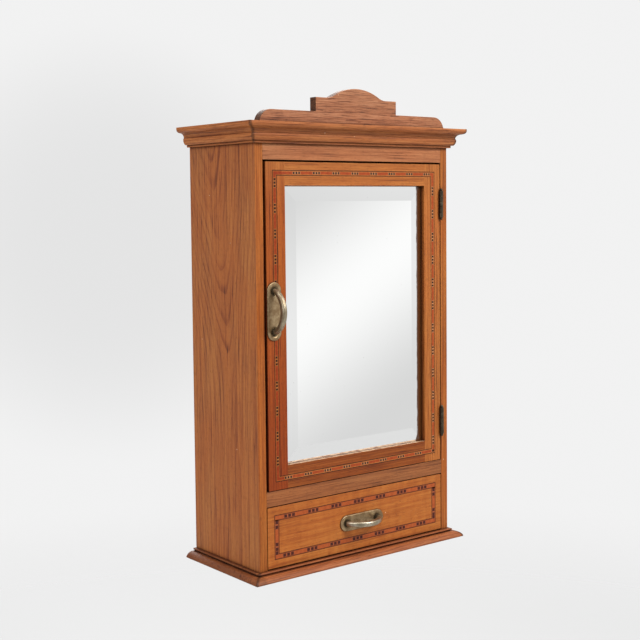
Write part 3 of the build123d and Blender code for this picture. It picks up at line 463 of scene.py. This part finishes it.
def dark_mitres(n, at, colour):
    """Dirt in the mitred corners of a moulding, whose joints stand on the lines |X| + Y = MITRE. The dirt
    follows those lines over the whole piece, so also under the base board, as far as its back edge."""
    off = n.add(n.add(n.math("ABSOLUTE", at["X"]), at["Y"]), -MITRE)
    rag = n.around(n.noise(n.scaled(n.joined(*at.values()), (6, 6, 6)), 3.0), 2.5)
    share = n.step(n.add(n.math("ABSOLUTE", off), rag), 0.8, 4.5, 0.75, 0.0)
    return n.mix(share, colour, n.tinted(colour, END_GRIME))


def bare_and_lit_ledge(axis, sign, start):
    """The narrow ledge beside the mirror, painted pale from start mm on along an axis: partly bare wood where
    the varnish has gone, partly a painted highlight of the light from above and its glare.
    """
    def paint(n, at, colour):
        beyond = n.step(n.times(at[axis], sign), start * sign, start * sign + 1.0)
        wear_and_glare = n.step(n.noise(n.scaled(n.joined(*at.values()), (9, 3, 9)), 3.0), 0.3, 0.6)
        # the ledge's upward faces painted pale: part wear, part painted highlight
        return n.mix(n.times(n.times(facing(n, axis, sign), beyond), n.times(wear_and_glare, 0.95)), colour, BARE_AND_LIT_WOOD)
    return paint


def darker_towards(axis, near, far, shade):
    """A colour that gets darker along an axis, from near to far in mm."""
    def paint(n, at, colour):
        return n.mix(n.step(at[axis], near, far, 0.0, 1.0), colour, n.tinted(colour, shade))
    return paint


# ---------------------------------------------------------------- materials on the CAD nodes


def give(material, *names):
    """Make this the one material of each of these CAD nodes."""
    for name in names:
        slots = NODES[name].data.materials
        slots.clear()
        slots.append(material)


SIDE_CUT = {"ring": 15.0, "taper": -0.42, "lean": -0.14, "sway": 12.0, "ripple": 5.0, "sharp": 0.5,
            "flare": 1 / 130, "straight_below": -290.0}
for side, seed, pith in (("left", 1.0, (-52, -184)), ("right", 8.0, (-70, 184))):
    give(wood("side_wood_" + side, SIDE_TONE, "YXZ", seed, lines=0.5, streaks=0.56, veins=0.3, redness=0.7,
              extra=[front_edge(EDGE_TONE)], pith=pith, **SIDE_CUT), "side_panel_" + side)
give(wood("base_wood", BASE_TONE, "YZX", 15.0, redness=0.3,
          extra=[dark_mitres, darker_towards("X", -172, -178, BASE_LEFT_END_DARKENING)],
          pith=(-80, -640), taper=0.02), "base_board")
give(wood("top_wood", CORNICE_TONE, "YZX", 17.0, pith=(-80, 70), taper=0.02), "top_board")
give(wood("floor_wood", INNER_TONE, "YZX", 21.0, pith=(-60, -640), taper=0.03), "floor_board")
give(wood("top_rail_wood", TOP_RAIL_TONE, "ZYX", 25.0, pith=(-200, -120), ring=3.0), "top_rail")
give(wood("mid_rail_wood", MID_RAIL_TONE, "ZYX", 29.0, pith=(-700, -90), ring=3.0), "mid_rail")
give(wood("cornice_wood", CORNICE_TONE, "ZYX", 33.0, extra=[dark_mitres], pith=(140, -140), ring=3.0),
     "cornice_front")
give(wood("cornice_side_wood", CORNICE_SIDE_TONE, "ZXY", 37.0, extra=[dark_mitres],
          pith=(140, -110), ring=3.0), "cornice_left", "cornice_right")
give(wood("crest_wood", CREST_TONE, "ZYX", 41.0, streaks=0.4, hairs=0.5, veins=0.5, vein=(0.9, 30),
          extra=[dark_ends(0.12)], pith=(200, -128), ring=3.2, taper=0.02), "crest_board")
give(wood("handle_stile_wood", FRONT_TONE, "XYZ", 45.0,
          extra=[darker_towards("Z", 0, -90, STILE_VARNISH),
                 darker_towards("Z", -190, -400, STILE_FOOT_VARNISH)], pith=(-320, -90)), "door_stile_handle")
give(wood("hinge_stile_wood", FRONT_TONE, "XYZ", 49.0, pith=(330, -80)), "door_stile_hinge")
give(wood("door_top_rail_wood", FRONT_TONE, "ZYX", 53.0, pith=(190, -90), ring=3.0), "door_rail_top")
LEDGE = 6  # how deep the ledge below the mirror is, in mm
rail_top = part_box("door_rail_bottom")[1].z / MM
# the ledge under the mirror is painted pale: partly wear, partly painted highlight
give(wood("door_bottom_rail_wood", BOTTOM_RAIL_TONE, "ZYX", 57.0,
          extra=[bare_and_lit_ledge("Z", 1, rail_top - LEDGE)], pith=(-720, -90), ring=3.0), "door_rail_bottom")
give(wood("drawer_wood", DRAWER_TONE, "ZYX", 61.0, lines=0.3, streaks=0.4, veins=0.2, curl=0.2,
          pith=(-470, -120), ring=6.0, taper=0.03), "drawer_front")
give(wood("stop_wood", FRONT_TONE, "XYZ", 65.0, pith=(-300, -90)), "door_stop_strip")
give(wood("shelf_wood", INNER_TONE, "YZX", 69.0, pith=(-60, -90), taper=0.03), "shelf_lower", "shelf_upper")
for node, seed, pith_x in (
        ("back_board_left", 71.0, -150), ("back_board_middle", 73.0, 14), ("back_board_right", 75.0, 96)):
    give(wood(node + "_wood", INNER_TONE, "XYZ", seed, pith=(pith_x, 60), ring=7.0, taper=0.08, sway=10.0),
         node)
give(wood("batten_wood", INNER_TONE, "ZYX", 77.0, pith=(60, 40), taper=0.03), "hanging_batten", "drawer_back",
     "drawer_bottom", "drawer_stops")
give(wood("runner_wood", INNER_TONE, "ZXY", 81.0, pith=(60, 40), taper=0.03), "drawer_side_left",
     "drawer_side_right", "drawer_kicker_left", "drawer_kicker_right", "shelf_cleat_lower_left",
     "shelf_cleat_lower_right", "shelf_cleat_upper_left", "shelf_cleat_upper_right")

for node in ("door_handle_plate", "drawer_handle_plate"):
    give(aged_metal("old_nickel_on_" + node, (0.4, 0.29, 0.165, 1), (0.24, 0.155, 0.08, 1),
                    (0.035, 0.024, 0.012, 1), 0.46, 2.0, feet(node)), node)
for name, bright, dull, dark, rough, seed, nodes in (
        ("rubbed_nickel", (0.36, 0.3, 0.21, 1), (0.24, 0.185, 0.115, 1), (0.05, 0.035, 0.02, 1), 0.44, 4.0,
         ["door_handle_bow"]),
        # the drawer's bow: paler than the door's, partly less tarnish and partly a painted highlight
        ("cleaner_nickel_with_painted_sheen", (0.5, 0.44, 0.34, 1), (0.3, 0.25, 0.17, 1), (0.05, 0.035, 0.02, 1), 0.32, 4.0,
         ["drawer_handle_bow"]),
        ("tarnished_brass", (0.55, 0.38, 0.16, 1), (0.30, 0.19, 0.08, 1), (0.05, 0.03, 0.015, 1), 0.38, 5.0,
         ["door_handle_screws", "drawer_handle_screws", "door_catch_spring", "catch_screws"]),
        ("blackened_iron", (0.11, 0.09, 0.058, 1), (0.06, 0.046, 0.03, 1), (0.02, 0.012, 0.008, 1), 0.55, 9.0,
         ["hinge_upper_case_leaf", "hinge_lower_case_leaf", "hinge_upper_door_leaf", "hinge_lower_door_leaf",
          "hinge_upper_pin", "hinge_lower_pin", "hinge_case_screws", "hinge_door_screws"]),
        ("dull_steel", (0.25, 0.23, 0.21, 1), (0.14, 0.12, 0.1, 1), (0.06, 0.03, 0.02, 1), 0.5, 13.0,
         ["cornice_pins", "base_screws", "back_nails", "backing_sprigs"])):
    give(aged_metal(name, bright, dull, dark, rough, seed), *nodes)
give(mirror(), "mirror_glass")
give(plain_board("backing_board", srgb(150, 122, 88), srgb(108, 82, 56), 3.0), "mirror_backing")


# ---------------------------------------------------------------- inlaid bands

DARK, LIGHT, RED, BLACK, STRING = range(5)
SLIPS = ("line", "gap", "dash", "square", "stringing")  # in the order of those five
INLAY_BACK = 0.95 * MM  # how deep the slips are let in


def inlay_materials(prefix, left_shade, colours):
    """The wood of each kind of slip. colours gives each kind's main and darker colour, in SLIPS' order."""
    return [inlay_wood(prefix + "_" + kind, *pair, 2.0 + 10 * index, left_shade)
            for index, (kind, pair) in enumerate(zip(SLIPS, colours))]


def prism(mesh, outline, front, back, slot):
    """A closed slip of wood: an outline in X and Z, from front to back along Y."""
    fore = [mesh.verts.new((x, front, z)) for x, z in outline]
    rear = [mesh.verts.new((x, back, z)) for x, z in outline]
    faces = [mesh.faces.new(fore), mesh.faces.new(rear[::-1])]
    for i in range(len(outline)):
        j = (i + 1) % len(outline)
        faces.append(mesh.faces.new((fore[j], fore[i], rear[i], rear[j])))
    for face in faces:
        face.material_index = slot


def mitred_frame(mesh, low, high, outer, inner, front, slot):
    """Four mitred slips that fill a rectangle's border from the inset outer to the inset inner."""
    def corner(right, top, inset):
        return (high.x - inset if right else low.x + inset, high.z - inset if top else low.z + inset)

    turns = [(0, 0), (1, 0), (1, 1), (0, 1)]
    for start, end in zip(turns, turns[1:] + turns[:1]):
        outline = [corner(*start, outer), corner(*end, outer), corner(*end, inner), corner(*start, inner)]
        prism(mesh, outline, front, front + INLAY_BACK, slot)


def run_of_slips(length, first, pitch, square, gap):
    """The slips along one side of a band as (start, end, slot): red dashes between groups of three squares."""
    half = 1.5 * square + gap
    marks = []
    centre = first
    at = 0.0
    while centre - half < length:
        begin = max(at, centre - half - gap / 2)
        if begin > at:
            marks.append((at, begin, RED))
        at = begin
        for index in range(3):
            start = max(0.0, centre - half + index * (square + gap))
            end = min(length, start + square)
            if start > at:
                marks.append((at, min(start, length), LIGHT))
            if end > start:
                marks.append((start, end, BLACK))
                at = end
        closing = min(length, at + gap / 2)
        if closing > at:
            marks.append((at, closing, LIGHT))
            at = closing
        centre += pitch
    if at < length:
        marks.append((at, length, RED))
    return marks


def inlaid_band(name, node, body, edges, squares, materials):
    """A band let in round the front. edges gives its lines from the outside in, as (width, slot). squares gives
    the whole band's width, the size of its squares, the gap between them and the margin beside them, and for
    each run where its first group's middle is and the step to the next."""
    low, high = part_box(node)
    mesh = bmesh.new()
    inset = 0.0
    for width, slot in edges:
        mitred_frame(mesh, low, high, inset, inset + width, low.y, slot)
        inset += width
    edge = inset
    whole = squares["band"]
    for width, slot in reversed(edges):
        mitred_frame(mesh, low, high, whole - inset, whole - inset + width, low.y, slot)
        inset -= width
    core = whole - 2 * edge
    left, right, bottom, top = low.x + edge, high.x - edge, low.z + edge, high.z - edge
    runs = [("across", left, top - core, right - left, squares["top"]),
            ("across", left, bottom, right - left, squares["bottom"]),
            ("up", left, bottom + core, top - bottom - 2 * core, squares["left"]),
            ("up", right - core, bottom + core, top - bottom - 2 * core, squares["right"])]
    for way, x, z, length, (first, pitch) in runs:
        for start, end, slot in run_of_slips(length, first, pitch, squares["size"], squares["gap"]):
            near, far = (x + start, x + end) if way == "across" else (z + start, z + end)
            foot = z if way == "across" else x
            layers = [(foot, foot + core, slot)]
            if slot == BLACK:
                inner, outer = foot + squares["margin"], foot + core - squares["margin"]
                layers = [(foot, inner, LIGHT), (inner, outer, BLACK), (outer, foot + core, LIGHT)]
            for bottom_edge, top_edge, fill in layers:
                outline = [(near, bottom_edge), (far, bottom_edge), (far, top_edge), (near, top_edge)]
                if way == "up":
                    outline = [(b, a) for a, b in outline]
                prism(mesh, outline, low.y, low.y + INLAY_BACK, fill)
    data = bpy.data.meshes.new(name)
    bmesh.ops.recalc_face_normals(mesh, faces=mesh.faces)
    mesh.to_mesh(data)
    mesh.free()
    for material in materials:
        data.materials.append(material)
    piece = bpy.data.objects.new(name, data)
    bpy.context.scene.collection.objects.link(piece)
    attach(piece, body)
    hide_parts(node)


inlaid_band(
    "door_inlay_band", "door_inlay", "door",
    [(1.0 * MM, DARK), (1.15 * MM, STRING)],
    {"band": 7.7 * MM, "size": 2.7 * MM, "gap": 1.9 * MM, "margin": 0.2 * MM,
     "top": (38.5 * MM, 34.4 * MM), "bottom": (19.2 * MM, 34.4 * MM),
     "left": (23 * MM, 34.2 * MM), "right": (14.6 * MM, 33.9 * MM)},
    inlay_materials("door_inlay", 1.0, [
        (seen(56, 24, 10), seen(34, 14, 6)), (seen(196, 134, 88), seen(168, 104, 60)),
        (seen(178, 76, 28), seen(148, 54, 16)), (seen(44, 20, 10), seen(24, 10, 6)),
        (seen(190, 112, 52), seen(164, 86, 34))]))
inlaid_band(
    "drawer_inlay_band", "drawer_inlay", "drawer",
    [(1.5 * MM, DARK)],
    {"band": 8.4 * MM, "size": 4.6 * MM, "gap": 2.0 * MM, "margin": 0.6 * MM,
     "top": (24.5 * MM, 41.2 * MM), "bottom": (22 * MM, 41.2 * MM),
     "left": (7.6 * MM, 37 * MM), "right": (7 * MM, 37 * MM)},
    inlay_materials("drawer_inlay", 0.0, [
        (seen(112, 52, 20), seen(84, 36, 14)), (seen(176, 92, 52), seen(146, 68, 34)),
        (seen(188, 92, 40), seen(164, 72, 28)), (seen(84, 32, 18), seen(58, 22, 13)),
        (seen(180, 96, 40), seen(150, 72, 28))]))


# ---------------------------------------------------------------- stage, light and camera


# The room's light comes from all round. A pair of limits says where on X, Y or Z of a direction it changes.
FRONT_LEVEL = 0.725
BACK_LEVEL = 0.885
FRONT_TO_BACK = (-0.25, 0.3)
LEFT_LEVEL = 0.5
LEFT_EDGE = (-0.7, 0.3)
LOW_LEVEL = 0.35
LOW_EDGE = (-0.75, -0.38)
HIGH_LEVEL = 1.0
HIGH_EDGE = (0.25, 0.8)
LOW_GAIN = 1.1
LOW_BACK_GAIN = 1.03
LOW_GAIN_EDGE = (-0.31, -0.24)
SHADE_WAY = (0.47, 0.88, -0.03)  # the dimmer part of the wall, on the cabinet's left
SHADE_EDGE = 0.982
SHADE_DEPTH = 0.12

GLOW_RIGHT = (0.786, 0.618, 0.0)  # level, and square to the way the glow is seen
GLOW_MIDDLE = (0.0251, -0.0965)  # where the glow's middle is along GLOW_RIGHT and upwards
GLOW_REACH = 0.05
GLOW_SLOPE = (0.629, -0.777)
GLOW_SHIFT = 0.02
GLOW_WIDTH = 0.1
GLOW_LEVEL = 0.32
GLOW_FRONT = (-0.5, -0.3)  # where on Y the glow ends
UPPER_GLOW_EDGE = (0.08, 0.16)
UPPER_GLOW = (-0.08, 0.08, 0.02, 0.13)  # the fainter glow above: its limits, and its level at each of them

FLOOR_PAINT = (0.57, 0.57, 0.57, 1.0)
FLOOR_HEIGHT = -1.35
FLOOR_REACH = 3.5
FLOOR_PLAIN = 900  # how far from the middle the floor starts to fade, in mm


def studio_world():
    """A pale room: lighter overhead and behind the cabinet, darker low down and on its left, with one broad,
    soft, slanting glow in front on the right, and a fainter one above it."""
    world = bpy.data.worlds.new("studio")
    bpy.context.scene.world = world
    n = Net("studio", world)
    way = n.node("TexCoord", {}, output=0)
    at = n.parts(way)
    level = n.step(at["Y"], *FRONT_TO_BACK, FRONT_LEVEL, BACK_LEVEL)
    level = n.times(level, n.step(at["X"], *LEFT_EDGE, LEFT_LEVEL, 1.0))
    level = n.times(level, n.step(at["Z"], *LOW_EDGE, LOW_LEVEL, 1.0))
    gain = n.step(at["Y"], *FRONT_TO_BACK, LOW_GAIN, LOW_BACK_GAIN)
    level = n.times(level, n.step(at["Z"], *LOW_GAIN_EDGE, gain, 1.0))
    level = n.math("MAXIMUM", level, n.step(at["Z"], *HIGH_EDGE, 0.0, HIGH_LEVEL))
    side = n.add(n.dot(way, GLOW_RIGHT), -GLOW_MIDDLE[0])
    held = n.math("MINIMUM", n.math("MAXIMUM", side, -GLOW_REACH), GLOW_REACH)
    rise = n.add(at["Z"], -GLOW_MIDDLE[1])
    off = n.add(n.times(held, GLOW_SLOPE[0]), n.math("MULTIPLY_ADD", rise, GLOW_SLOPE[1], GLOW_SHIFT))
    band = n.step(n.math("ABSOLUTE", off), 0.0, GLOW_WIDTH, GLOW_LEVEL, 0.0)
    band = n.times(band, n.step(n.math("ABSOLUTE", side), GLOW_REACH, 4 * GLOW_REACH, 1.0, 0.5))
    band = n.times(band, n.step(at["Y"], *GLOW_FRONT, 1.0, 0.0))
    upper = n.times(n.step(at["Z"], *UPPER_GLOW_EDGE), n.step(side, *UPPER_GLOW))
    band = n.add(band, n.times(upper, n.step(at["Y"], *GLOW_FRONT, 1.0, 0.0)))
    toward = n.dot(way, Vector(SHADE_WAY).normalized())
    level = n.times(level, n.step(toward, SHADE_EDGE, 1.0, 1.0, 1.0 - SHADE_DEPTH))
    shade = n.node("Background", {0: (1.0, 1.0, 1.0, 1.0), 1: n.add(level, band)})
    n.node("OutputWorld", {0: shade})


def area_light(name, place, target, size, power):
    """A white square lamp at a place, turned to its target. It doesn't show in pictures."""
    data = bpy.data.lights.new(name, "AREA")
    data.shape = "SQUARE"
    data.size = size
    data.energy = power
    lamp = bpy.data.objects.new(name, data)
    bpy.context.scene.collection.objects.link(lamp)
    lamp.location = place
    lamp.rotation_euler = (Vector(target) - Vector(place)).to_track_quat("-Z", "Y").to_euler()
    lamp.visible_camera = False


def pale_floor():
    """A plain pale floor that fades into the room towards its edge."""
    data = bpy.data.meshes.new("floor")
    corners = [(x * FLOOR_REACH, y * FLOOR_REACH, FLOOR_HEIGHT)
               for x, y in ((-1, -1), (1, -1), (1, 1), (-1, 1))]
    data.from_pydata(corners, [], [(0, 1, 2, 3)])
    floor = bpy.data.objects.new("floor", data)
    bpy.context.scene.collection.objects.link(floor)
    n = Net("pale_floor")
    at = n.parts(n.place())
    far = n.math("SQRT", n.add(n.times(at["X"], at["X"]), n.times(at["Y"], at["Y"])))
    fade = n.step(far, FLOOR_PLAIN, 0.95 * FLOOR_REACH / MM)
    matt = n.node("BsdfDiffuse", {0: FLOOR_PAINT})
    clear = n.node("BsdfTransparent", {})
    shader = n.node("MixShader", {0: fade, 1: matt, 2: clear})
    n.node("OutputMaterial", {0: shader})
    data.materials.append(n.owner)


def photo_camera(place, yaw, pitch, roll, lens, rise):
    """A level camera turned by yaw from +Y towards +X, then pitched and rolled, in degrees. lens is its focal
    length in mm, and rise shifts the picture up or down by that share of its width."""
    yaw, pitch, roll = (math.radians(angle) for angle in (yaw, pitch, roll))
    ahead = Vector((math.sin(yaw) * math.cos(pitch), math.cos(yaw) * math.cos(pitch), math.sin(pitch)))
    level = Vector((math.cos(yaw), -math.sin(yaw), 0.0))
    above = level.cross(ahead)
    right = math.cos(roll) * level + math.sin(roll) * above
    up = -math.sin(roll) * level + math.cos(roll) * above
    data = bpy.data.cameras.new("camera")
    data.lens = lens
    data.shift_y = rise
    camera = bpy.data.objects.new("camera", data)
    bpy.context.scene.collection.objects.link(camera)
    turn = Matrix((right, up, -ahead)).transposed().to_4x4()
    camera.matrix_world = Matrix.Translation(place) @ turn
    bpy.context.scene.camera = camera


studio_world()
MIDDLE = (cad_low + cad_high) / 2
for name, place, size, power in (
        ("key", (0.9, -1.8, 1.2), 0.8, 42), ("fill", (-2.0, -0.7, 0.6), 1.8, 24),
        ("top", (0.1, -0.5, 1.7), 0.8, 14), ("back", (0.9, 2.0, 0.9), 1.6, 30)):
    area_light(name, place, MIDDLE, size, power)
pale_floor()
photo_camera(
    place=(-1.08385, -1.45406, -0.07846), yaw=38.142, pitch=-3.848, roll=-0.551, lens=67.18, rise=-0.0547)
bpy.context.scene.view_settings.view_transform = "Standard"
